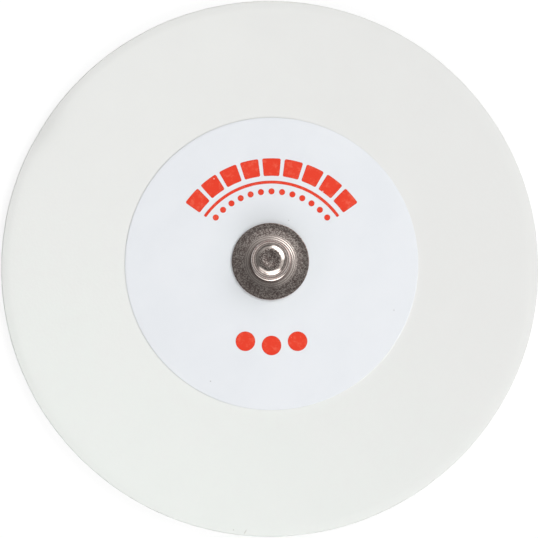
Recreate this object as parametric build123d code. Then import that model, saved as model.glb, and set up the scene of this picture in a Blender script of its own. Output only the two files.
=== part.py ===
"""Disposable foam ECG electrode with a snap stud, lying skin side down.

Units are millimetres. The origin is the centre of the foam's skin face, +Z points out of the
stud, and +Y points to the top of the label.
"""

from build123d import *
import os

# Foam pad: a disc of closed-cell foam tape with a punched gel well
foam_diameter = 55.0
foam_thickness = 1.6
foam_rim_width = 0.8
foam_rim_drop = 0.15
well_diameter = 18.0

# Film label over the well, laid a little off centre
label_diameter = 30.0
label_thickness = 0.12
label_offset_x = 0.18
label_offset_y = 0.41

# Snap stud: drawn from sheet and riveted through the label
stud_offset_x = 0.07
stud_offset_y = 0.60
stud_height = 3.5
sheet_thickness = 0.3
flange_diameter = 7.9
flange_lip_width = 1.2
flange_rise = 0.15
head_diameter = 3.95
head_undercut = 0.28
head_flare_height = 0.4
head_land = 0.55
dimple_diameter = 1.2
dimple_floor_diameter = 0.2
dimple_depth = 0.05

# Bends of the stud's sheet, each measured on the tight side of the sheet
lip_bend = 1.5
neck_bend = 0.45
flare_bend = 0.3
land_bend = 0.1
shoulder_bend = 0.55
dimple_lip_bend = 0.1
dimple_floor_bend = 0.15

# Sensor eyelet: coated moulding with a cored post that is swaged out inside the stud
eyelet_diameter = 10.0
eyelet_thickness = 0.5
eyelet_edge_break = 0.15
eyelet_core_diameter = 1.0
eyelet_core_depth = 2.0
rivet_clearance = 0.03

# Gel sponge: fills the well, pressed up over the eyelet
sponge_edge_break = 0.3
sponge_clearance = 0.15

# Levels above the skin face, and radii about the stud's axis
stud_base = foam_thickness + label_thickness
stud_top = stud_base + stud_height
sensor_face = foam_thickness - eyelet_thickness
flange_radius = flange_diameter / 2
head_radius = head_diameter / 2
neck_radius = head_radius - head_undercut
post_depth = sheet_thickness + rivet_clearance

stud_axis = Pos(stud_offset_x, stud_offset_y, 0)
flange_bends = [lip_bend, neck_bend]
head_bends = [flare_bend, land_bend, shoulder_bend, dimple_lip_bend, dimple_floor_bend]


def disc(diameter, thickness, base=0):
    """Round plate on the Z axis that stands on the level of its base."""
    return Pos(0, 0, base) * extrude(Circle(diameter / 2), amount=thickness)


def flange_corners():
    """Outer corners of the stud's flange, as radius and height, from its rim to the neck."""
    top = stud_base + sheet_thickness
    return [
        Vector(flange_radius, top),
        Vector(flange_radius - flange_lip_width, top),
        Vector(neck_radius, top + flange_rise),
    ]


def head_corners():
    """Outer corners of the stud's head, as radius and height, from the neck to the axis."""
    land_bottom = stud_top - sheet_thickness - shoulder_bend - head_land
    dimple_floor = stud_top - dimple_depth
    return [
        Vector(neck_radius, land_bottom - head_flare_height),
        Vector(head_radius, land_bottom),
        Vector(head_radius, stud_top),
        Vector(dimple_diameter / 2, stud_top),
        Vector(dimple_floor_diameter / 2, dimple_floor),
        Vector(0, dimple_floor),
    ]


def inset(corners, depth):
    """Corners of the line that runs at a depth to the left of a chain of straight legs."""
    legs = [end - start for start, end in zip(corners, corners[1:])]
    sides = [Vector(-leg.Y, leg.X).normalized() for leg in legs]
    mitres = [(a + b) / (1 + a.dot(b)) for a, b in zip(sides, sides[1:])]
    return [corner + side * depth for corner, side in zip(corners, [sides[0], *mitres, sides[-1]])]


def sheet_line(corners, bends, depth):
    """Line at a depth into bent sheet, which lies to the left of the corners of its outside."""
    legs = [end - start for start, end in zip(corners, corners[1:])]
    turns = [a.cross(b).Z for a, b in zip(legs, legs[1:])]
    past_tight_side = [sheet_thickness - depth if turn > 0 else depth for turn in turns]
    radii = [bend + past for bend, past in zip(bends, past_tight_side)]
    return FilletPolyline(*inset(corners, depth), radius=radii)


def foam_pad():
    """Foam ring round the well, with its upper rim drawn down by the die."""
    well = well_diameter / 2
    rim = foam_diameter / 2
    section = Polyline(
        (well, 0),
        (rim, 0),
        (rim, foam_thickness - foam_rim_drop),
        (rim - foam_rim_width, foam_thickness),
        (well, foam_thickness),
        close=True,
    )
    return revolve(Plane.XZ * make_face(section.edges()), Axis.Z)


def label():
    """Film disc, punched where the eyelet's post comes through."""
    film = disc(label_diameter, label_thickness, foam_thickness)
    post_hole = disc(2 * (neck_radius - sheet_thickness), label_thickness, foam_thickness)
    return Pos(label_offset_x, label_offset_y, 0) * film - stud_axis * post_hole


def snap_stud():
    """Drawn shell of even thickness, from its sheared rim to the dimple."""
    corners = flange_corners() + head_corners()
    bends = flange_bends + head_bends
    outside = sheet_line(corners, bends, 0)
    inside = sheet_line(corners, bends, sheet_thickness)
    rim = Line(outside @ 0, inside @ 0)
    middle = Line(outside @ 1, inside @ 1)
    section = make_face([*outside.edges(), *inside.edges(), rim, middle])
    return stud_axis * revolve(Plane.XZ * section, Axis.Z)


def sensor_eyelet():
    """Coated disc under the label, with a post that is swaged out inside the stud's head."""
    plate = disc(eyelet_diameter, eyelet_thickness, sensor_face)
    plate = chamfer(plate.edges(), eyelet_edge_break)
    foot = Vector(neck_radius, foam_thickness)
    *wall, shoulder, dimple, floor, middle = inset([foot, *head_corners()], post_depth)
    shoulder_side = shoulder - Vector(0, shoulder_bend)
    shoulder_top = shoulder - Vector(shoulder_bend, 0)
    tip = [shoulder_side, shoulder_top, dimple, floor, middle]
    section = Polyline(*wall, *tip, (0, foot.Y), close=True)
    post = revolve(Plane.XZ * make_face(section.edges()), Axis.Z)
    core = disc(eyelet_core_diameter, eyelet_core_depth, sensor_face)
    return stud_axis * (plate + post - core)


def gel_sponge():
    """Sponge disc as deep as the well, with a pocket where the eyelet presses into it."""
    sponge = disc(well_diameter - 2 * sponge_clearance, foam_thickness)
    sponge = chamfer(sponge.edges().group_by(Axis.Z)[0], sponge_edge_break)
    pocket = disc(eyelet_diameter + 2 * sponge_clearance, eyelet_thickness, sensor_face)
    return sponge - stud_axis * pocket


pieces = {
    "foam_pad": foam_pad(),
    "label": label(),
    "snap_stud": snap_stud(),
    "sensor_eyelet": sensor_eyelet(),
    "gel_sponge": gel_sponge(),
}

os.makedirs("parts", exist_ok=True)
for name, piece in pieces.items():
    export_step(piece, f"parts/{name}.step")
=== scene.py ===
"""Studio scene of a disposable foam ECG electrode, dressed over its CAD frame.

Sizes and profiles are in millimetres and angles in degrees. Lamps and the camera are placed in metres.
A finished mesh is in metres, in the frame of the CAD part: the origin is the centre of the foam's skin
face, +Z points out of the stud and +Y to the label's top.
"""

import logging
import math
from collections.abc import Callable, Mapping, Sequence
from dataclasses import dataclass
from enum import Enum
from typing import Any

import bmesh
import bpy
from bmesh.types import BMEdge, BMVert
from bpy.types import Light, Material, NodeSocket, Object, ShaderNode, World
from mathutils import Euler, Matrix, Vector, noise

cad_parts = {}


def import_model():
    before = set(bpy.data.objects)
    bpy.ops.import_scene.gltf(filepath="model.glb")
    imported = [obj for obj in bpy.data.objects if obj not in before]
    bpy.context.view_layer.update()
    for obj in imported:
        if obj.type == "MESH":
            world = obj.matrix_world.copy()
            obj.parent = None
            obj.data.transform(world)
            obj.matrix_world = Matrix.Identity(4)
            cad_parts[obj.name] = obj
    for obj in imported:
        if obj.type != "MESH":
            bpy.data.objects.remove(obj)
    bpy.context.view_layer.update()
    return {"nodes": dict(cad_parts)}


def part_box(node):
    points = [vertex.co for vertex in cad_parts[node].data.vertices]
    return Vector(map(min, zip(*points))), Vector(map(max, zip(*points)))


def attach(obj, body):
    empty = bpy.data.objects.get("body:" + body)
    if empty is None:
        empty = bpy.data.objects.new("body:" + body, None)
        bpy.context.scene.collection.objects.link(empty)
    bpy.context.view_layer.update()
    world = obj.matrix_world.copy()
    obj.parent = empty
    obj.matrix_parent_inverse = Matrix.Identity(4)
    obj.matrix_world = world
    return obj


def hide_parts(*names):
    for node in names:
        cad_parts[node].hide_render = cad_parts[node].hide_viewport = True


LOG = logging.getLogger("electrode")
MM = 0.001
FULL_TURN = 360.0
CREASE = math.radians(50)
WELD_DISTANCE = 1e-5
EDGE_SEGMENTS = 4
BODY = "root"
Colour = tuple[float, float, float]
Point = tuple[float, float, float]
Span = tuple[float, float]
Values = Mapping[str | int, Any]
NOTHING: Values = {}


class Node(Enum):
    """The CAD nodes that the scene dresses."""

    FOAM = "foam_pad"
    LABEL = "label"
    STUD = "snap_stud"
    EYELET = "sensor_eyelet"
    SPONGE = "gel_sponge"


class Slot(Enum):
    """The record's material slots."""

    FOAM = "white_foam"
    FILM = "printed_film"
    NICKEL = "nickel_plate"
    GEL = "gel"


class Op(Enum):
    """Operations of a Math node."""

    ADD = "ADD"
    SUBTRACT = "SUBTRACT"
    MULTIPLY = "MULTIPLY"
    DIVIDE = "DIVIDE"
    SINE = "SINE"
    MAXIMUM = "MAXIMUM"
    ABOVE = "GREATER_THAN"


class Mixing(Enum):
    """Ways of mixing two colours."""

    COVER = "MIX"
    TINT = "MULTIPLY"


class Rounding(Enum):
    """What a bevel rounds."""

    POINTS = "VERTICES"
    EDGES = "EDGES"


@dataclass(frozen=True)
class Signal:
    """A shader output that takes part in Python expressions."""

    bench: "ShaderBench"
    socket: NodeSocket

    def __add__(self, other: "Signal | float") -> "Signal":
        """Adds a value."""
        return self.bench.math(Op.ADD, self, other)

    __radd__ = __add__

    def __sub__(self, other: "Signal | float") -> "Signal":
        """Subtracts a value."""
        return self.bench.math(Op.SUBTRACT, self, other)

    def __rsub__(self, other: float) -> "Signal":
        """Subtracts from a number."""
        return self.bench.math(Op.SUBTRACT, other, self)

    def __mul__(self, other: "Signal | float") -> "Signal":
        """Multiplies by a value."""
        return self.bench.math(Op.MULTIPLY, self, other)

    __rmul__ = __mul__

    def __truediv__(self, other: "Signal | float") -> "Signal":
        """Divides by a value."""
        return self.bench.math(Op.DIVIDE, self, other)

    def __rtruediv__(self, other: float) -> "Signal":
        """Divides a number."""
        return self.bench.math(Op.DIVIDE, other, self)

    def step(self, low: float = 0.0, high: float = 1.0) -> "Signal":
        """Rises smoothly from 0 at the low value to 1 at the high one."""
        inputs = {"Value": self, "From Min": low, "From Max": high}
        return self.bench.node("MapRange", {"interpolation_type": "SMOOTHSTEP"}, inputs)

    def between(self, low: float, high: float) -> "Signal":
        """Runs evenly from the low value at 0 to the high one at 1."""
        return low + self * (high - low)


@dataclass(frozen=True)
class Mark:
    """A small oval mark on a face, with its length turned from X."""

    x: float
    y: float
    length: float
    width: float
    turn: float = 0.0


class ShaderBench:
    """The node tree of one material, world or lamp, filled by Python expressions."""

    spot_edge: Span = (0.15, 0.5)

    def __init__(self, owner: Material | World | Light) -> None:
        """Empties the tree of its owner.

        Args:
            owner: The material, world or lamp.
        """
        owner.use_nodes = True
        self.owner = owner
        self.tree = owner.node_tree
        self.tree.nodes.clear()

    @classmethod
    def material(cls, name: str) -> "ShaderBench":
        """Starts a new material."""
        return cls(bpy.data.materials.new(name))

    @staticmethod
    def _socket(sockets: Any, key: str | int) -> NodeSocket:
        """Finds a node's input or output by its index, identifier or name."""
        named = (s for s in sockets if key in (s.identifier, s.name))
        return sockets[key] if isinstance(key, int) else next(named)

    def _add(self, kind: str, settings: Values, inputs: Values) -> ShaderNode:
        """Adds a node of any type.

        Args:
            kind: The node's type, after ShaderNode.
            settings: The node's own settings, which are set first.
            inputs: Signals or plain values for its sockets.

        Returns:
            The node.
        """
        node = self.tree.nodes.new("ShaderNode" + kind)
        for name, value in settings.items():
            setattr(node, name, value)
        for key, value in inputs.items():
            socket = self._socket(node.inputs, key)
            if isinstance(value, Signal):
                self.tree.links.new(value.socket, socket)
            elif socket.type == "RGBA":
                socket.default_value = (*value, 1.0)
            else:
                socket.default_value = value
        return node

    def node(
        self, kind: str, settings: Values = NOTHING, inputs: Values = NOTHING, output: str | int = 0
    ) -> Signal:
        """Adds a node with its settings and inputs, and gives the output to go on with."""
        node = self._add(kind, settings, inputs)
        return Signal(self, self._socket(node.outputs, output))

    def end(self, kind: str, shader: Signal) -> None:
        """Ends the tree in an output node."""
        self._add(kind, NOTHING, {"Surface": shader})

    def math(self, op: Op, first: Signal | float, second: Signal | float = 0.0) -> Signal:
        """Adds a Math node, of which some operations use the first operand only."""
        return self.node("Math", {"operation": op.value}, {0: first, 1: second})

    def place(self, centre: Vector = Vector(), size: Vector = Vector((1, 1, 1)), turn: float = 0) -> Signal:
        """Gives the surface point, measured from a centre along turned axes.

        Args:
            centre: The point that becomes the origin.
            size: The lengths that become one unit.
            turn: The turn of the axes about Z.

        Returns:
            The point as a vector signal.
        """
        inputs = {
            "Vector": self.node("TexCoord", output="Object"),
            "Location": centre * MM,
            "Rotation": Euler((0, 0, math.radians(turn))),
            "Scale": size * MM,
        }
        return self.node("Mapping", {"vector_type": "TEXTURE"}, inputs)

    def axis(self, place: Signal, name: str) -> Signal:
        """Gives one coordinate of a point, by its name."""
        return self.node("SeparateXYZ", inputs={"Vector": place}, output=name)

    def axis_distance(self, place: Signal) -> Signal:
        """Gives the distance of a point from the Z axis."""
        level = self.node("VectorMath", {"operation": "MULTIPLY"}, {0: place, 1: (1, 1, 0)})
        return self.node("VectorMath", {"operation": "LENGTH"}, {0: level}, "Value")

    def noise(self, place: Signal, grain: float, detail: float = 2.0, rough: float = 0.5) -> Signal:
        """Adds a cloudy pattern about 0.5, with clouds of a size in the units of the point."""
        inputs = {"Vector": place, "Scale": 1 / grain, "Detail": detail, "Roughness": rough}
        return self.node("TexNoise", inputs=inputs)

    def cells(self, place: Signal, grain: float, output: str = "Distance") -> Signal:
        """Adds cells of a size, and gives the Distance from a cell's middle or its own Color."""
        return self.node("TexVoronoi", inputs={"Vector": place, "Scale": 1 / grain}, output=output)

    def lots(self, place: Signal, grain: float) -> Signal:
        """Gives each cell of a pattern a value of its own between 0 and 1."""
        return self.node("SeparateColor", inputs={"Color": self.cells(place, grain, "Color")})

    def spot(self, mark: Mark) -> Signal:
        """Masks a small oval mark, with 1 in its middle and a soft edge."""
        oval = self.place(Vector((mark.x, mark.y, 0)), Vector((mark.length, mark.width, 1)), mark.turn)
        return 1 - self.axis_distance(oval).step(*self.spot_edge)

    def blend(self, share: Signal, first: Any, second: Any, mixing: Mixing = Mixing.COVER) -> Signal:
        """Mixes two colours by the share of the second, laid over the first or tinting it."""
        inputs = {"Factor_Float": share, "A_Color": first, "B_Color": second}
        return self.node("Mix", {"data_type": "RGBA", "blend_type": mixing.value}, inputs, "Result_Color")

    def bump(self, height: Signal, depth: float) -> Signal:
        """Turns a height pattern, one unit of which has a depth, into a normal."""
        return self.node("Bump", inputs={"Height": height, "Distance": depth * MM})

    def surface(self, inputs: Values) -> Material:
        """Ends the tree in one Principled surface and gives the finished material."""
        self.end("OutputMaterial", self.node("BsdfPrincipled", inputs=inputs))
        return self.owner


@dataclass(frozen=True)
class FoamFinish:
    """Closed-cell white foam with a fine skin, cut open at its rim; painted lighter on the left and towards
    the lower-left, with painted shade in the cut rim's open cells and in a small crease.
    """

    name: str = "white_foam"
    # left and right: painted light, the foam coloured lighter on the left than on the right.
    left: Colour = (0.841, 0.848, 0.828)
    right: Colour = (0.789, 0.791, 0.776)
    # tinge: painted light, a lighter and greener cast towards the lower-left.
    tinge: Colour = (1.006, 1.032, 1.019)
    # cut: painted shade in the open cell pits of the cut rim wall.
    cut: Colour = (0.775, 0.780, 0.765)
    # Painted shade for the crease at the rim, also used for a dark speck beside it.
    crease_shade_and_speck: Colour = (0.52, 0.50, 0.47)
    cloud_size: float = 5.0
    side_clouds: float = 0.4
    side_middle: float = 0.3
    tinge_direction: float = -110.0
    tinge_slope: float = 0.8
    tinge_start: float = 0.5
    tinge_clouds: float = 0.6
    mottle_size: float = 1.1
    mottle: float = 0.7
    wall_edge: Span = (-0.5, -0.1)
    skin_edge: Span = (-0.6, -0.2)
    cell_size: float = 0.34
    cell_edge: Span = (0.25, 0.6)
    cell_depth: float = 0.012
    skin_cells: float = 0.35
    cut_cells: float = 1.6
    skin_grain: float = 0.5
    crease: Mark = Mark(-2.5, -27.0, 0.75, 0.16, 59)
    fleck: Mark = Mark(-3.7, -26.8, 0.2, 0.2)
    mark_cover: float = 0.55
    mark_depth: float = 2.0
    roughness: Span = (0.62, 0.82)

    def make(self, rim_radius: float, top: float) -> Material:
        """Makes the material.

        Args:
            rim_radius: The radius of the foam's rim.
            top: The height of the foam's upper face.

        Returns:
            The material.
        """
        bench = ShaderBench.material(self.name)
        place = bench.place()
        clouds = bench.noise(place, self.cloud_size, detail=4.0)
        across = bench.axis(place, "X") / (2 * rim_radius)
        # Painted light: the foam is coloured lighter on the left and darker on the right, as if light falls
        # from one side.
        side = (across + clouds * self.side_clouds + self.side_middle).step()
        colour = bench.blend(side, self.left, self.right)
        # Painted light: a lighter, greener cast towards the lower-left, broken into cloudy patches.
        lower = bench.axis(bench.place(turn=self.tinge_direction), "X") / rim_radius
        fine = bench.noise(place, self.mottle_size, detail=3.0, rough=0.6)
        patches = clouds * self.tinge_clouds + fine * self.mottle
        tinged = (lower * self.tinge_slope + patches - self.tinge_start).step()
        colour = bench.blend(tinged, colour, self.tinge, Mixing.TINT)
        wall = (bench.axis_distance(place) - rim_radius).step(*self.wall_edge)
        cut = wall * (1 - (bench.axis(place, "Z") - top).step(*self.skin_edge))
        cells = bench.cells(place, self.cell_size)
        # Painted shade: the open cell pits of the cut rim wall are darkened in colour.
        colour = bench.blend(cut * (1 - cells.step(*self.cell_edge)), colour, self.cut)
        # Painted shade inside a small crease at the rim, and a dark speck beside it.
        marks = bench.math(Op.MAXIMUM, bench.spot(self.crease), bench.spot(self.fleck)) * self.mark_cover
        skin = bench.noise(place, self.cell_size / 2, detail=3.0)
        height = cells * (self.skin_cells + cut * self.cut_cells) + skin * self.skin_grain
        inputs = {
            "Base Color": bench.blend(marks, colour, self.crease_shade_and_speck),
            "Roughness": clouds.between(*self.roughness),
            "Normal": bench.bump(height - marks * self.mark_depth, self.cell_depth),
            "Specular IOR Level": 0.3,
        }
        return bench.surface(inputs)


@dataclass(frozen=True)
class AdhesiveFinish:
    """Clear skin adhesive on the underside of the foam, coated in streaks along Y."""

    name: str = "skin_adhesive"
    clear: Colour = (0.80, 0.80, 0.775)
    thick: Colour = (0.775, 0.772, 0.738)
    streak_size: float = 2.2
    streak_length: float = 9.0
    streak_edge: Span = (0.4, 0.7)
    pimple_size: float = 0.3
    pimple_height: float = 0.4
    depth: float = 0.01
    roughness: Span = (0.12, 0.37)

    def make(self) -> Material:
        """Makes the material.

        Returns:
            The material.
        """
        bench = ShaderBench.material(self.name)
        along = bench.place(size=Vector((1, self.streak_length, 1)))
        streaks = bench.noise(along, self.streak_size, detail=3.0)
        pimples = bench.noise(bench.place(), self.pimple_size)
        inputs = {
            "Base Color": bench.blend(streaks.step(*self.streak_edge), self.clear, self.thick),
            "Roughness": streaks.between(*self.roughness),
            "Normal": bench.bump(streaks + pimples * self.pimple_height, self.depth),
            "Coat Weight": 0.3,
        }
        return bench.surface(inputs)


@dataclass(frozen=True)
class FilmFinish:
    """Satin white label film with a faint blue cast, a few specks and painted shade round the stud."""

    name: str = "label_film"
    white: Colour = (0.828, 0.850, 0.882)
    shade: Colour = (0.808, 0.832, 0.866)
    # Painted shade round the stud, where the stud shadows the film.
    painted_stud_shade: Colour = (0.755, 0.790, 0.812)
    speck: Colour = (0.30, 0.29, 0.29)
    specks: tuple[Mark, ...] = (
        Mark(1.94, 4.84, 0.195, 0.15),
        Mark(-6.05, -11.64, 0.208, 0.16),
        Mark(12.69, -4.37, 0.182, 0.14),
    )
    speck_cover: float = 0.6
    cloud_size: float = 4.0
    cloud_edge: Span = (0.3, 0.7)
    cloud_height: float = 6.0
    stud_shade_edge: Span = (3.5, 7.5)
    stud_shade_share: float = 0.6
    peel_size: float = 0.45
    peel_depth: float = 0.004
    rub_size: float = 0.8
    roughness: Span = (0.36, 0.5)

    def make(self, stud_axis: Vector) -> Material:
        """Makes the material.

        Args:
            stud_axis: The middle of the stud.

        Returns:
            The material.
        """
        bench = ShaderBench.material(self.name)
        place = bench.place()
        clouds = bench.noise(place, self.cloud_size, detail=3.0)
        colour = bench.blend(clouds.step(*self.cloud_edge), self.shade, self.white)
        # Painted shade: the film is darkened round the stud, where the stud shades it.
        near_stud = 1 - bench.axis_distance(bench.place(stud_axis)).step(*self.stud_shade_edge)
        colour = bench.blend(near_stud * self.stud_shade_share, colour, self.painted_stud_shade)
        for mark in self.specks:
            colour = bench.blend(bench.spot(mark) * self.speck_cover, colour, self.speck)
        peel = bench.noise(place, self.peel_size)
        rubbed = bench.noise(place, self.rub_size, detail=4.0)
        inputs = {
            "Base Color": colour,
            "Roughness": rubbed.between(*self.roughness),
            "Normal": bench.bump(peel + clouds * self.cloud_height, self.peel_depth),
            "Specular IOR Level": 0.4,
        }
        return bench.surface(inputs)


@dataclass(frozen=True)
class InkFinish:
    """Red label ink, darker where it was squeezed out to its edges, with pinholes."""

    name: str = "red_ink"
    full: Colour = (0.835, 0.040, 0.010)
    thin: Colour = (0.870, 0.105, 0.052)
    squeezed: Colour = (0.520, 0.030, 0.014)
    bare: Colour = (0.84, 0.70, 0.68)
    attribute: str = "squeeze"
    cover_size: float = 0.5
    cover_edge: Span = (0.45, 0.75)
    squeeze_edge: Span = (0.1, 1.0)
    squeeze: float = 0.7
    pinhole_pitch: float = 0.8
    pinhole_edge: Span = (0.05, 0.11)
    cells_without: float = 0.72
    depth: float = 0.006
    roughness: Span = (0.34, 0.54)

    def make(self) -> Material:
        """Makes the material, which reads the squeeze attribute of its piece.

        Returns:
            The material.
        """
        bench = ShaderBench.material(self.name)
        place = bench.place()
        cover = bench.noise(place, self.cover_size, detail=4.0, rough=0.6)
        colour = bench.blend(cover.step(*self.cover_edge), self.full, self.thin)
        squeeze = bench.node("Attribute", {"attribute_name": self.attribute}, output="Fac")
        colour = bench.blend(squeeze.step(*self.squeeze_edge) * self.squeeze, colour, self.squeezed)
        dots = 1 - bench.cells(place, self.pinhole_pitch).step(*self.pinhole_edge)
        lots = bench.lots(place, self.pinhole_pitch)
        pinholes = dots * bench.math(Op.ABOVE, lots, self.cells_without)
        inputs = {
            "Base Color": bench.blend(pinholes, colour, self.bare),
            "Roughness": cover.between(*self.roughness),
            "Normal": bench.bump(cover - pinholes, self.depth),
            "Specular IOR Level": 0.35,
        }
        return bench.surface(inputs)


@dataclass(frozen=True)
class NickelFinish:
    """Nickel plate: grained on the flange with painted glints, worn bright on the head, with painted shade
    in the groove between.
    """

    name: str = "nickel_plate"
    bright: Colour = (0.72, 0.645, 0.595)
    dull: Colour = (0.25, 0.193, 0.178)
    stain_size: float = 1.4
    stain_edge: Span = (0.3, 0.75)
    stain: float = 0.2
    # A darker band along the flange's rim.
    rim_band_edge: Span = (-0.16, -0.02)
    rim_darkening: float = 0.5
    lip_edge: Span = (-0.25, 0.15)
    cone_edge: Span = (-0.1, 0.1)
    groove_start: Span = (0.02, 0.08)
    groove_end: Span = (0.16, 0.24)
    # Painted shade in the groove between head and cone.
    groove_shade: float = 0.8
    brow_edge: Span = (-0.65, -0.45)
    # A slightly darker band on the head's brow.
    brow_darkening: float = 0.1
    dimple_edge: Span = (1.0, 1.3)
    # Painted glints: bright and dull cells stand for grain facets that catch or miss the lamps.
    glint_speck_size: float = 0.1
    glint_speck_edge: Span = (0.15, 0.75)
    glint_specks: float = 0.12
    lip_glints: float = 0.72
    brow_glints: float = 0.2
    dimple_glints: float = 0.9
    ring_pitch: float = 0.2
    ring_edge: Span = (-0.2, 1.0)
    cone_rings: float = 0.5
    brow_rings: float = 0.7
    ring_height: float = 0.2
    grain_size: float = 0.13
    grain: float = 0.08
    lip_grain: float = 0.45
    dimple_grain: float = 0.9
    depth: float = 0.012
    roughness: float = 0.07
    lip_roughness: float = 0.05
    cone_roughness: float = 0.08
    dimple_roughness: float = 0.06
    grain_roughness: float = 0.06

    def make(self, centre: Vector, head_radius: float, lip_radius: float, rim_radius: float) -> Material:
        """Makes the material.

        Args:
            centre: The middle of the stud's flange.
            head_radius: The radius of the stud's head.
            lip_radius: The radius at which the flat lip of the flange begins.
            rim_radius: The radius of the flange.

        Returns:
            The material.
        """
        bench = ShaderBench.material(self.name)
        place = bench.place(centre)
        radius = bench.axis_distance(place)
        past_head = radius - head_radius
        # Darker band along the flange's rim.
        rim_band = (radius - rim_radius).step(*self.rim_band_edge)
        lip = (radius - lip_radius).step(*self.lip_edge)
        cone = past_head.step(*self.cone_edge) * (1 - lip)
        # Painted shade: a dull ring in the groove under the head's edge, where the head shades the cone.
        groove = past_head.step(*self.groove_start) * (1 - past_head.step(*self.groove_end))
        brow = past_head.step(*self.brow_edge) * (1 - cone - lip)
        dimple = 1 - radius.step(*self.dimple_edge)
        stain = bench.noise(place, self.stain_size, detail=4.0).step(*self.stain_edge)
        # Painted glints: a speckle of bright and dull cells for the grain facets' reflections.
        glint_specks = bench.lots(place, self.glint_speck_size).step(*self.glint_speck_edge)
        rings = bench.math(Op.SINE, radius * (math.tau / self.ring_pitch))
        grain = bench.noise(place, self.grain_size, rough=0.6)
        dull = stain * self.stain + rim_band * self.rim_darkening
        dull = dull + groove * self.groove_shade + brow * self.brow_darkening
        glint_weight = self.glint_specks + lip * self.lip_glints + brow * self.brow_glints + dimple * self.dimple_glints
        ringed = cone * self.cone_rings + brow * self.brow_rings
        dull = dull + glint_specks * glint_weight + rings.step(*self.ring_edge) * ringed
        height = grain * (self.grain + lip * self.lip_grain + dimple * self.dimple_grain)
        rough = self.roughness + lip * self.lip_roughness + cone * self.cone_roughness
        inputs = {
            "Base Color": bench.blend(dull, self.bright, self.dull),
            "Metallic": 1.0,
            "Roughness": rough + dimple * self.dimple_roughness + grain * self.grain_roughness,
            "Normal": bench.bump(height + rings * (cone + brow) * self.ring_height, self.depth),
        }
        return bench.surface(inputs)


@dataclass(frozen=True)
class SilverFinish:
    """Matt, blotched coat of silver and silver chloride on the sensor."""

    name: str = "silver_coat"
    silver: Colour = (0.46, 0.45, 0.445)
    chloride: Colour = (0.30, 0.285, 0.30)
    blotch_size: float = 0.9
    blotch_edge: Span = (0.35, 0.65)
    grain_size: float = 0.08
    depth: float = 0.01
    roughness: Span = (0.5, 0.7)

    def make(self) -> Material:
        """Makes the material.

        Returns:
            The material.
        """
        bench = ShaderBench.material(self.name)
        place = bench.place()
        blotch = bench.noise(place, self.blotch_size, detail=5.0, rough=0.6)
        grain = bench.noise(place, self.grain_size)
        inputs = {
            "Base Color": bench.blend(blotch.step(*self.blotch_edge), self.silver, self.chloride),
            "Metallic": 0.35,
            "Roughness": blotch.between(*self.roughness),
            "Normal": bench.bump(grain + blotch, self.depth),
        }
        return bench.surface(inputs)


@dataclass(frozen=True)
class GelFinish:
    """Wet, slightly blue gel in an open sponge, with painted shade in its pores."""

    name: str = "wet_gel"
    gel: Colour = (0.74, 0.80, 0.815)
    # Painted shade in the pits of the pores.
    painted_pore_shade: Colour = (0.57, 0.655, 0.68)
    pore_size: float = 0.55
    pore_edge: Span = (0.1, 0.45)
    pore_height: float = 0.6
    swell_size: float = 2.0
    swell_height: float = 2.0
    depth: float = 0.03
    roughness: Span = (0.1, 0.22)

    def make(self) -> Material:
        """Makes the material, with pores under a wet coat.

        Returns:
            The material.
        """
        bench = ShaderBench.material(self.name)
        place = bench.place()
        # Painted shade: the pits of the pores are darker in colour.
        pores = bench.cells(place, self.pore_size).step(*self.pore_edge)
        swell = bench.noise(place, self.swell_size, detail=3.0)
        inputs = {
            "Base Color": bench.blend(pores, self.painted_pore_shade, self.gel),
            "Roughness": pores.between(*self.roughness),
            "Normal": bench.bump(pores * self.pore_height + swell * self.swell_height, self.depth),
            "Coat Weight": 0.6,
            "Coat Roughness": 0.05,
        }
        return bench.surface(inputs)


@dataclass(frozen=True)
class Corner:
    """A corner of a turned profile, with its rounding."""

    radius: float
    height: float
    bend: float = 0.0


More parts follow.
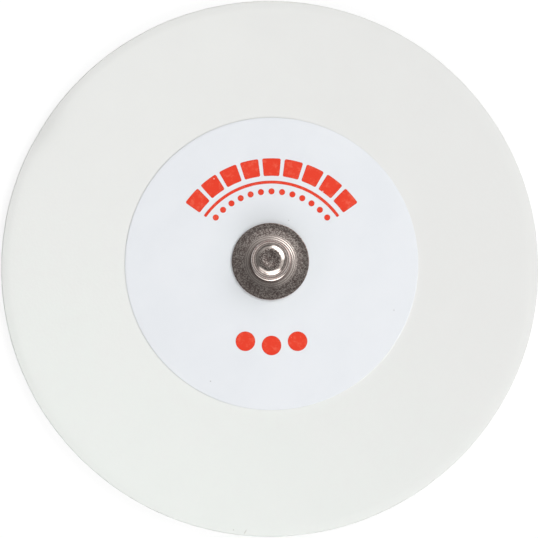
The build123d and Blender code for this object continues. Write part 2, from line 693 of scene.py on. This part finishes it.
class Workpiece:
    """A mesh in the making, in millimetres."""

    def __init__(self) -> None:
        """Starts with an empty mesh."""
        self.mesh = bmesh.new()

    def chain(self, corners: Sequence[Corner], closed: bool = False, arc_step: float = 5.0) -> None:
        """Lays a profile of straight legs in the XZ plane and rounds its corners.

        Args:
            corners: The profile's corners in order.
            closed: Whether the last corner joins the first.
            arc_step: The turn of one leg of a rounded corner.
        """
        verts = [self.mesh.verts.new((c.radius, 0, c.height)) for c in corners]
        ends = verts[1:] + (verts[:1] if closed else [])
        for start, end in zip(verts, ends):
            self.mesh.edges.new((start, end))
        for vert, corner in zip(verts, corners):
            if corner.bend > 0:
                self._round(vert, corner.bend, arc_step)

    def _round(self, vert: BMVert, bend: float, arc_step: float) -> None:
        """Rounds one corner of a profile.

        Args:
            vert: The corner.
            bend: The radius of its rounding.
            arc_step: The turn of one leg of the rounding.
        """
        before, after = (edge.other_vert(vert).co - vert.co for edge in vert.link_edges)
        turn = math.pi - before.angle(after)
        segments = max(2, math.ceil(math.degrees(turn) / arc_step))
        self.bevel([vert], bend * math.tan(turn / 2), segments, Rounding.POINTS)

    def bevel(self, geom: Sequence[Any], offset: float, segments: int, rounding: Rounding) -> None:
        """Rounds points of a flat outline or edges of a solid.

        Args:
            geom: The points or edges.
            offset: The width of the rounding on each side.
            segments: The number of its legs.
            rounding: What it rounds.
        """
        bmesh.ops.bevel(
            self.mesh,
            geom=geom,
            offset=offset,
            offset_type="OFFSET",
            affect=rounding.value,
            segments=segments,
            profile=0.5,
            material=-1,
        )

    def refine(self, longest: float) -> None:
        """Divides edges until none is longer than a length.

        Args:
            longest: The length.
        """
        for edge in self.mesh.edges[:]:
            cuts = math.ceil(edge.calc_length() / longest) - 1
            if cuts > 0:
                bmesh.ops.subdivide_edges(self.mesh, edges=[edge], cuts=cuts)

    def sweep(self, geom: Sequence[Any], turn: float, steps: int, use_merge: bool = False) -> None:
        """Sweeps points and edges round the Z axis.

        Args:
            geom: The points and edges.
            turn: The angle that they sweep over.
            steps: The number of faces along it.
            use_merge: Whether the end joins the start.
        """
        bmesh.ops.spin(
            self.mesh,
            geom=geom,
            cent=(0, 0, 0),
            axis=(0, 0, 1),
            dvec=(0, 0, 0),
            angle=math.radians(turn),
            steps=steps,
            use_merge=use_merge,
            use_duplicate=False,
        )

    def spin(self, steps: int) -> None:
        """Turns the profile once round the Z axis and closes its seam and poles."""
        self.sweep(self.mesh.verts[:] + self.mesh.edges[:], FULL_TURN, steps, use_merge=True)
        self.weld()

    def weld(self) -> None:
        """Merges doubled points and turns all faces outwards."""
        bmesh.ops.remove_doubles(self.mesh, verts=self.mesh.verts[:], dist=WELD_DISTANCE)
        bmesh.ops.recalc_face_normals(self.mesh, faces=self.mesh.faces[:])

    def thicken(self, height: float) -> None:
        """Raises a copy of flat faces above them and walls it in.

        Args:
            height: The height of the copy.
        """
        raised = bmesh.ops.extrude_face_region(self.mesh, geom=self.mesh.faces[:], use_keep_orig=True)
        verts = [g for g in raised["geom"] if isinstance(g, BMVert)]
        bmesh.ops.translate(self.mesh, verts=verts, vec=(0, 0, height))
        bmesh.ops.recalc_face_normals(self.mesh, faces=self.mesh.faces[:])

    def soften(self, offset: float, chosen: Callable[[BMEdge], bool]) -> None:
        """Rounds the sharp edges of a solid that a function chooses."""
        sharp = [e for e in self.mesh.edges if e.calc_face_angle(0.0) > CREASE and chosen(e)]
        self.bevel(sharp, offset, EDGE_SEGMENTS, Rounding.EDGES)

    def shift(self, move: Callable[[Vector], Vector]) -> None:
        """Moves each point by what a function gives for its place."""
        for vert in self.mesh.verts:
            vert.co += move(vert.co)

    def finish(self, name: str, centre: Vector = Vector()) -> Object:
        """Makes an object in metres, with its place in its mesh.

        Args:
            name: The object's name.
            centre: Where the mesh's origin goes.

        Returns:
            The object, linked to the scene.
        """
        verts = self.mesh.verts[:]
        bmesh.ops.translate(self.mesh, verts=verts, vec=centre)
        bmesh.ops.scale(self.mesh, verts=verts, vec=(MM, MM, MM))
        for face in self.mesh.faces:
            face.smooth = True
        for edge in self.mesh.edges:
            edge.smooth = edge.calc_face_angle(0.0) < CREASE
        data = bpy.data.meshes.new(name)
        self.mesh.to_mesh(data)
        self.mesh.free()
        piece = bpy.data.objects.new(name, data)
        bpy.context.collection.objects.link(piece)
        LOG.info("%s: %d faces", name, len(data.polygons))
        return piece


@dataclass(frozen=True)
class Seat:
    """The space that a CAD node holds."""

    low: Vector
    high: Vector

    @classmethod
    def of(cls, node: Node) -> "Seat":
        """Reads a node's box from the frame."""
        low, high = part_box(node.value)
        return cls(Vector(low) / MM, Vector(high) / MM)

    @property
    def axis(self) -> Vector:
        """The middle of the box, at height zero."""
        middle = (self.low + self.high) / 2
        return Vector((middle.x, middle.y, 0))

    @property
    def radius(self) -> float:
        """Half the width of the box."""
        return (self.high.x - self.low.x) / 2


def settle(piece: Object, finish: Material, slot: Slot, *replaced: Node) -> None:
    """Finishes a piece and fixes it to the electrode.

    Args:
        piece: The piece.
        finish: Its first material.
        slot: The record's slot that matches its finish; not used.
        replaced: The CAD nodes that it stands for.
    """
    piece.data.materials.append(finish)
    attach(piece, BODY)
    if replaced:
        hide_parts(*(node.value for node in replaced))


def cloud(point: Vector, size: float) -> float:
    """Gives a value from 0 to 1 that varies softly, over clouds of a size."""
    return 0.5 + 0.5 * noise.noise(point / size)


@dataclass
class FoamPad:
    """The foam disc: soft rim, gently uneven skin and adhesive underside."""

    seat: Seat
    well_radius: float = 9.0
    rim_width: float = 0.8
    rim_drop: float = 0.15
    rim_round: float = 0.15
    shoulder_round: float = 2.4
    foot_round: float = 0.08
    ring_width: float = 0.45
    ripple: float = 0.012
    ripple_size: float = 3.2
    dent_direction: float = 148.0
    dent_half_angle: float = 6.0
    dent_depth: float = 0.28
    dent_reach: float = 1.6
    waver: float = 0.04
    waver_size: float = 4.0
    waver_reach: float = 1.6
    steps: int = 384
    facing_down: float = -0.9

    def build(self) -> Object:
        """Turns the pad and lays its skin and rim uneven.

        Returns:
            The pad.
        """
        rim, top = self.seat.radius, self.seat.high.z
        corners = [
            Corner(self.well_radius, 0),
            Corner(rim, 0, self.foot_round),
            Corner(rim, top - self.rim_drop, self.rim_round),
            Corner(rim - self.rim_width, top, self.shoulder_round),
            Corner(self.well_radius, top),
        ]
        work = Workpiece()
        work.chain(corners, closed=True)
        work.refine(self.ring_width)
        work.spin(self.steps)
        work.shift(self._unevenness)
        return work.finish(Node.FOAM.value + "_soft")

    def _unevenness(self, point: Vector) -> Vector:
        """Gives how far a point of the pad lies from the true disc.

        Args:
            point: The point on the true disc.

        Returns:
            Its shift, always into the pad.
        """
        level = Vector((point.x, point.y, 0))
        inside = self.seat.radius - level.length
        at_rim = max(0.0, 1 - inside / self.waver_reach)
        pull = self.waver * at_rim * cloud(level, self.waver_size)
        off = (math.degrees(math.atan2(point.y, point.x)) - self.dent_direction) / self.dent_half_angle
        at_dent = max(0.0, 1 - inside / self.dent_reach)
        dip = self.ripple * cloud(point, self.ripple_size)
        dip += self.dent_depth * at_dent * math.exp(-off * off)
        return -level.normalized() * pull - Vector((0, 0, dip * point.z / self.seat.high.z))

    def dress(self, piece: Object) -> None:
        """Gives the pad its foam and the underside its adhesive.

        Args:
            piece: The pad.
        """
        settle(piece, FoamFinish().make(self.seat.radius, self.seat.high.z), Slot.FOAM, Node.FOAM)
        piece.data.materials.append(AdhesiveFinish().make())
        for face in piece.data.polygons:
            face.material_index = int(face.normal.z < self.facing_down)


@dataclass
class FilmLabel:
    """The round label, punched for the eyelet's post."""

    seat: Seat
    stud_axis: Vector
    hole_radius: float = 1.395
    edge_round: float = 0.06
    segments: int = 320
    rings: int = 30

    def build(self) -> Object:
        """Spans the film from its hole to its rim.

        Returns:
            The label.
        """
        work = Workpiece()
        for centre, radius in ((self.seat.axis, self.seat.radius), (self.stud_axis, self.hole_radius)):
            at = Matrix.Translation(centre + Vector((0, 0, self.seat.low.z)))
            bmesh.ops.create_circle(work.mesh, radius=radius, segments=self.segments, matrix=at)
        rims = set(work.mesh.edges)
        bmesh.ops.bridge_loops(work.mesh, edges=list(rims))
        spokes = [edge for edge in work.mesh.edges if edge not in rims]
        bmesh.ops.subdivide_edges(work.mesh, edges=spokes, cuts=self.rings, use_grid_fill=True)
        work.thicken(self.seat.high.z - self.seat.low.z)
        work.soften(self.edge_round, self._is_upper_rim)
        return work.finish(Node.LABEL.value + "_film")

    def _is_upper_rim(self, edge: BMEdge) -> bool:
        """Says whether an edge runs along the upper side of the label's rim."""
        middle = (edge.verts[0].co + edge.verts[1].co - self.seat.low - self.seat.high) / 2
        return middle.z > 0 and middle.xy.length > self.seat.radius / 2

    def dress(self, piece: Object) -> None:
        """Gives the label its film."""
        settle(piece, FilmFinish().make(self.stud_axis), Slot.FILM, Node.LABEL)


@dataclass(frozen=True)
class ArcRow:
    """Like shapes set evenly on an arc about the label's middle; angles from +X."""

    name: str
    middle: float
    radius: float
    pitch: float
    count: int

    def angles(self) -> list[float]:
        """Gives the direction of each shape."""
        return [self.middle + self.pitch * (index - (self.count - 1) / 2) for index in range(self.count)]


@dataclass
class LabelPrint:
    """The red print: an arch of blocks over a line and a row of dots, and three spots below the stud."""

    label: Seat
    arch: ArcRow = ArcRow("print_arch", middle=90, radius=9.9, pitch=12.4, count=9)
    line: ArcRow = ArcRow("print_line", middle=90, radius=8.35, pitch=0, count=1)
    dots: ArcRow = ArcRow("print_dots", middle=90, radius=7.4, pitch=8.4, count=13)
    spots: ArcRow = ArcRow("print_spots", middle=-90, radius=8.4, pitch=18.5, count=3)
    block_width: float = 1.8
    block_sweep: float = 10.2
    line_width: float = 0.3
    line_sweep: float = 109.4
    dot_size: float = 0.62
    spot_size: float = 2.0
    disc_sides: int = 48
    corner_round: float = 0.16
    corner_segments: int = 5
    border: float = 0.08
    film: float = 0.015

    def build(self) -> list[Object]:
        """Lays the four fields of ink.

        Returns:
            The arch, the line, the dots and the spots.
        """
        return [
            self._bands(self.arch, self.block_width, self.block_sweep),
            self._bands(self.line, self.line_width, self.line_sweep),
            self._discs(self.dots, self.dot_size),
            self._discs(self.spots, self.spot_size),
        ]

    def _bands(self, row: ArcRow, width: float, sweep: float) -> Object:
        """Sweeps short radial edges into curved bands, one step for each degree.

        Args:
            row: Where the bands lie.
            width: The width of a band along the radius.
            sweep: The angle of a band.

        Returns:
            The bands.
        """
        work = Workpiece()
        for angle in row.angles():
            turn = Matrix.Rotation(math.radians(angle - sweep / 2), 4, "Z")
            ends = [Vector((row.radius + side, 0, 0)) for side in (-width / 2, width / 2)]
            verts = [work.mesh.verts.new(turn @ end) for end in ends]
            work.sweep([*verts, work.mesh.edges.new(verts)], sweep, math.ceil(sweep))
        corners = [vert for vert in work.mesh.verts if len(vert.link_edges) == 2]
        offset = min(self.corner_round, width / 4)
        work.bevel(corners, offset, self.corner_segments, Rounding.POINTS)
        return self._ink(work, row.name)

    def _discs(self, row: ArcRow, size: float) -> Object:
        """Sets discs on an arc.

        Args:
            row: Where the discs lie.
            size: The diameter of a disc.

        Returns:
            The discs.
        """
        work = Workpiece()
        for angle in row.angles():
            at = Matrix.Rotation(math.radians(angle), 4, "Z") @ Matrix.Translation((row.radius, 0, 0))
            bmesh.ops.create_circle(
                work.mesh, cap_ends=True, radius=size / 2, segments=self.disc_sides, matrix=at
            )
        return self._ink(work, row.name)

    def _ink(self, work: Workpiece, name: str) -> Object:
        """Gives flat fields a squeezed border and the thickness of the ink.

        Args:
            work: The flat fields.
            name: The piece's name.

        Returns:
            The inked piece on the label.
        """
        mesh = work.mesh
        bmesh.ops.inset_region(
            mesh, faces=mesh.faces[:], thickness=self.border, use_boundary=True, use_even_offset=True
        )
        squeeze = mesh.verts.layers.float.new(InkFinish.attribute)
        for vert in mesh.verts:
            vert[squeeze] = float(vert.is_boundary)
        work.thicken(self.film)
        return work.finish(name, self.label.axis + Vector((0, 0, self.label.high.z)))

    def dress(self, pieces: list[Object]) -> None:
        """Gives all fields the same ink.

        Args:
            pieces: The fields.
        """
        ink = InkFinish().make()
        for piece in pieces:
            settle(piece, ink, Slot.FILM)


@dataclass
class SnapStud:
    """The drawn snap stud, from its flange lip to the dimple in its head."""

    seat: Seat
    sheet: float = 0.3
    lip_width: float = 1.2
    lip_bend: float = 1.5
    crown_width: float = 0.6
    crown_rise: float = 0.03
    crown_bend: float = 1.2
    rise: float = 0.15
    neck_bend: float = 0.45
    undercut: float = 0.28
    head_radius: float = 1.975
    flare_height: float = 0.4
    flare_bend: float = 0.3
    land: float = 0.9
    land_bend: float = 0.4
    brow_round: float = 0.35
    brow_slope: float = 40.0
    dome_round: float = 1.0
    dome_radius: float = 1.38
    dimple_radius: float = 0.8
    dimple_floor: float = 0.35
    dimple_depth: float = 0.03
    dimple_bend: float = 0.8
    edge_round: float = 0.03
    arc_step: float = 4.0
    finest: float = 0.12
    steps: int = 192

    @property
    def lip_radius(self) -> float:
        """The radius at which the flat lip of the flange begins."""
        return self.seat.radius - self.lip_width

    def build(self) -> Object:
        """Turns the outside of the stud and gives it the sheet's thickness.

        Returns:
            The stud.
        """
        top = self.seat.high.z
        flange = self.seat.low.z + self.sheet
        neck = self.head_radius - self.undercut
        brow = top - (self.head_radius - self.dome_radius) * math.tan(math.radians(self.brow_slope))
        land_bottom = brow - self.land
        corners = [
            Corner(self.seat.radius, flange),
            Corner(self.lip_radius + self.crown_width, flange, self.lip_bend),
            Corner(self.lip_radius, flange + self.crown_rise, self.crown_bend),
            Corner(neck, flange + self.rise, self.neck_bend),
            Corner(neck, land_bottom - self.flare_height, self.flare_bend),
            Corner(self.head_radius, land_bottom, self.land_bend),
            Corner(self.head_radius, brow, self.brow_round),
            Corner(self.dome_radius, top, self.dome_round),
            Corner(self.dimple_radius, top, self.dimple_bend),
            Corner(self.dimple_floor, top - self.dimple_depth, self.dimple_bend),
            Corner(0, top - self.dimple_depth),
        ]
        work = Workpiece()
        work.chain(corners, arc_step=self.arc_step)
        work.refine(self.finest)
        work.spin(self.steps)
        bmesh.ops.solidify(work.mesh, geom=work.mesh.faces[:], thickness=self.sheet)
        work.soften(self.edge_round, self._is_rim)
        return work.finish(Node.STUD.value + "_drawn", self.seat.axis)

    def _is_rim(self, edge: BMEdge) -> bool:
        """Says whether an edge runs along the flange's rim."""
        return all(vert.co.xy.length > self.seat.radius - self.edge_round for vert in edge.verts)

    def dress(self, piece: Object) -> None:
        """Gives the stud its nickel plate."""
        finish = NickelFinish().make(self.seat.axis, self.head_radius, self.lip_radius, self.seat.radius)
        settle(piece, finish, Slot.NICKEL, Node.STUD)


@dataclass
class GelSponge:
    """The gel-soaked sponge that fills the well under the sensor."""

    seat: Seat
    eyelet: Seat
    pocket_gap: float = 0.15
    edge_round: float = 0.3
    top_round: float = 0.1
    hollow: float = 0.12
    hollow_shoulder: float = 0.75
    shoulder_depth: float = 0.4
    shoulder_round: float = 6.0
    pit: float = 0.04
    pit_size: float = 0.7
    ring_width: float = 0.3
    steps: int = 160

    @property
    def pocket(self) -> float:
        """The radius of the pocket that the eyelet presses into the sponge."""
        return self.eyelet.radius + self.pocket_gap

    def build(self) -> Object:
        """Turns the sponge with the eyelet's pocket and pits its wet face.

        Returns:
            The sponge.
        """
        rim, top = self.seat.radius, self.seat.high.z
        corners = [
            Corner(0, self.hollow),
            Corner(rim * self.hollow_shoulder, self.hollow * self.shoulder_depth, self.shoulder_round),
            Corner(rim, 0, self.edge_round),
            Corner(rim, top, self.top_round),
            Corner(self.pocket, top, self.top_round),
            Corner(self.pocket, self.eyelet.low.z),
            Corner(0, self.eyelet.low.z),
        ]
        work = Workpiece()
        work.chain(corners)
        work.refine(self.ring_width)
        work.spin(self.steps)
        work.shift(self._pits)
        work.shift(self._pocket_offset)
        return work.finish(Node.SPONGE.value + "_wet")

    def _pits(self, point: Vector) -> Vector:
        """Gives the depth of the pores at a point of the wet face."""
        wet = max(0.0, 1 - point.z / (2 * self.hollow))
        return Vector((0, 0, self.pit * wet * cloud(point, self.pit_size)))

    def _pocket_offset(self, point: Vector) -> Vector:
        """Gives how far a point of the upper side moves, so that the pocket lies round the eyelet.

        Args:
            point: The point of the true turned sponge.

        Returns:
            Its shift, which fades towards the sponge's wall.
        """
        if point.z < self.eyelet.low.z / 2:
            return Vector()
        share = (self.seat.radius - point.xy.length) / (self.seat.radius - self.pocket)
        return self.eyelet.axis * min(1.0, share)

    def dress(self, piece: Object) -> None:
        """Gives the sponge its gel."""
        settle(piece, GelFinish().make(), Slot.GEL, Node.SPONGE)


@dataclass(frozen=True)
class Lamp:
    """An oval lamp that faces the electrode and fades from its core towards its edge."""

    name: str
    direction: float
    lean: float
    width: float
    height: float
    power: float
    distance: float = 0.6
    core: float = 0.4

    def hang(self) -> None:
        """Hangs the lamp, which shows in gloss but not to the camera."""
        light = bpy.data.lights.new(self.name, "AREA")
        light.shape = "ELLIPSE"
        light.size, light.size_y = self.width, self.height
        light.energy = self.power
        bench = ShaderBench(light)
        ends = {0: bench.node("NewGeometry", output="Parametric"), 1: (0.5, 0.5, 0)}
        off_middle = bench.node("VectorMath", {"operation": "DISTANCE"}, ends, "Value")
        share = 1 - off_middle.step(self.core / 2, 0.5)
        bench.end("OutputLight", bench.node("MixShader", inputs={0: share, 2: bench.node("Emission")}))
        lamp = bpy.data.objects.new(self.name, light)
        lean, direction = math.radians(self.lean), math.radians(self.direction)
        level = math.sin(lean)
        away = Vector((level * math.cos(direction), level * math.sin(direction), math.cos(lean)))
        lamp.location = away * self.distance
        lamp.rotation_euler = away.to_track_quat("Z", "Y").to_euler()
        lamp.visible_camera = False
        bpy.context.collection.objects.link(lamp)


@dataclass
class Studio:
    """A white sweep, soft lamps, a dim ceiling with a brighter side, and the camera above the electrode."""

    lamps: tuple[Lamp, ...] = (
        Lamp("upper_right_softbox", direction=46, lean=40, width=0.7, height=0.54, power=3.95),
        Lamp("lower_softbox", direction=-76, lean=46, width=0.74, height=0.58, power=3.7),
        Lamp("lower_left_card", direction=-125, lean=45, width=0.5, height=0.5, power=0.75),
    )
    ceiling: Colour = (0.185, 0.185, 0.185)
    glow: Colour = (0.8, 0.8, 0.8)
    glow_direction: float = 35.0
    glow_lean: Span = (4.0, 16.0)
    glow_spread: Span = (-0.8, 1.0)
    floor_white: Colour = (0.86, 0.86, 0.86)
    wall_grey: Colour = (0.165, 0.165, 0.165)
    floor_lift: float = 0.8
    floor_glow: float = 1.2
    sweep_radius: float = 1300.0
    sweep_height: float = 1500.0
    sweep_bend: float = 350.0
    sweep_steps: int = 96
    wall_rise: Span = (-450.0, 1100.0)
    wall_fade: float = 0.8
    floor_gap: float = 0.02
    elevation: float = 86.0
    camera_distance: float = 0.5
    frame_width: float = 0.0551
    near_clip: float = 0.01
    aim: Point = (-0.000075, -0.0001, 0.0009)

    def build(self) -> None:
        """Makes the stage, its light and the camera."""
        self._sweep()
        self._world()
        for lamp in self.lamps:
            lamp.hang()
        self._camera()
        bpy.context.scene.view_settings.view_transform = "Standard"

    def _sweep(self) -> None:
        """Turns the floor and its rising wall in one sheet."""
        floor = -self.floor_gap
        corners = [
            Corner(0, floor),
            Corner(self.sweep_radius, floor, self.sweep_bend),
            Corner(self.sweep_radius, self.sweep_height),
        ]
        work = Workpiece()
        work.chain(corners)
        work.spin(self.sweep_steps)
        sweep = work.finish("studio_sweep")
        sweep.data.materials.append(self._sweep_finish())

    def _sweep_finish(self) -> Material:
        """Makes a matt sheet, lifted to pure white near the floor and keeping its shadows.

        Returns:
            The material.
        """
        bench = ShaderBench.material("studio_white")
        seen = bench.node("LightPath", output="Is Camera Ray")
        for ray in ("Is Glossy Ray", "Is Transmission Ray"):
            seen = bench.math(Op.MAXIMUM, seen, bench.node("LightPath", output=ray))
        rise = bench.axis(bench.place(), "Z").step(*self.wall_rise)
        floor = bench.node("BsdfDiffuse", inputs={"Color": self.floor_white})
        wall = bench.node("BsdfDiffuse", inputs={"Color": self.wall_grey})
        matt = bench.node("MixShader", inputs={0: rise, 1: floor, 2: wall})
        white = bench.node("Emission", inputs={"Strength": self.floor_glow})
        lift = seen * self.floor_lift * (1 - rise * self.wall_fade)
        bench.end("OutputMaterial", bench.node("MixShader", inputs={0: lift, 1: matt, 2: white}))
        return bench.owner

    def _world(self) -> None:
        """Makes a dim ceiling that brightens down towards one side."""
        world = bpy.data.worlds.new("ceiling")
        bench = ShaderBench(world)
        look = bench.node("TexCoord", output="Generated")
        turn = {"Vector": look, "Rotation": Euler((0, 0, math.radians(self.glow_direction)))}
        turned = bench.node("Mapping", {"vector_type": "TEXTURE"}, turn)
        aside = bench.axis_distance(turned)
        start, full = (math.sin(math.radians(lean)) for lean in self.glow_lean)
        towards = bench.axis(turned, "X") / aside
        share = towards.step(*self.glow_spread) * aside.step(start, full)
        dim = bench.node("Background", inputs={"Color": self.ceiling})
        glow = bench.node("Background", inputs={"Color": self.glow})
        bench.end("OutputWorld", bench.node("MixShader", inputs={0: share, 1: dim, 2: glow}))
        bpy.context.scene.world = world

    def _camera(self) -> None:
        """Hangs a long lens above the electrode, a little towards its lower side."""
        data = bpy.data.cameras.new("camera")
        data.lens = data.sensor_width * self.camera_distance / self.frame_width
        data.clip_start = self.near_clip
        camera = bpy.data.objects.new("camera", data)
        tilt = math.radians(self.elevation)
        away = Vector((0, -math.cos(tilt), math.sin(tilt)))
        camera.location = Vector(self.aim) + away * self.camera_distance
        camera.rotation_euler = away.to_track_quat("Z", "Y").to_euler()
        bpy.context.collection.objects.link(camera)
        bpy.context.scene.camera = camera


def main() -> None:
    """Builds and dresses the electrode, piece by piece, in its studio."""
    logging.basicConfig(level=logging.INFO, format="%(name)s %(message)s")
    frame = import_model()
    seats = {node: Seat.of(node) for node in Node}
    parts = (
        FoamPad(seats[Node.FOAM]),
        FilmLabel(seats[Node.LABEL], seats[Node.STUD].axis),
        LabelPrint(seats[Node.LABEL]),
        SnapStud(seats[Node.STUD]),
        GelSponge(seats[Node.SPONGE], seats[Node.EYELET]),
    )
    for part in parts:
        part.dress(part.build())
    eyelet = frame["nodes"][Node.EYELET.value]
    eyelet.data.materials[0] = SilverFinish().make()
    LOG.info("%s: kept from the frame", eyelet.name)
    Studio().build()


if __name__ == "__main__":
    main()
